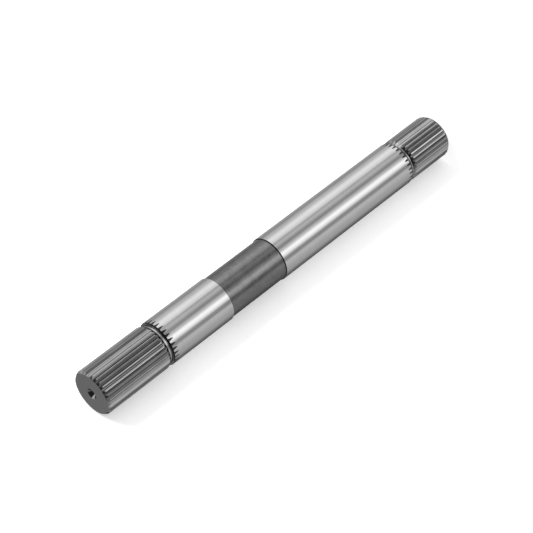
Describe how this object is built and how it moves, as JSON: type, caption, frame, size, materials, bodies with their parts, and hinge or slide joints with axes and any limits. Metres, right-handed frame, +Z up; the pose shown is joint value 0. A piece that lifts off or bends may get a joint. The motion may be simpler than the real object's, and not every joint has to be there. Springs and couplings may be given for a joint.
{
  "type": "transmission input shaft",
  "caption": "Steel drive shaft with an involute spline on each end, two ground bearing journals and a rough middle between them.",
  "frame": {"origin": "centre of the short-splined end face, which the shaft stands on", "axes": "+Z up the shaft's axis towards the long-splined end; +X through the middle of one gap of the long spline"},
  "size_m": [0.0254, 0.0254, 0.2574],
  "materials": {
    "input_shaft": "ground journals, dark oxide on the splines, the middle and the end faces"
  },
  "bodies": {
    "root": {"input_shaft": "input_shaft"}
  },
  "joints": []
}
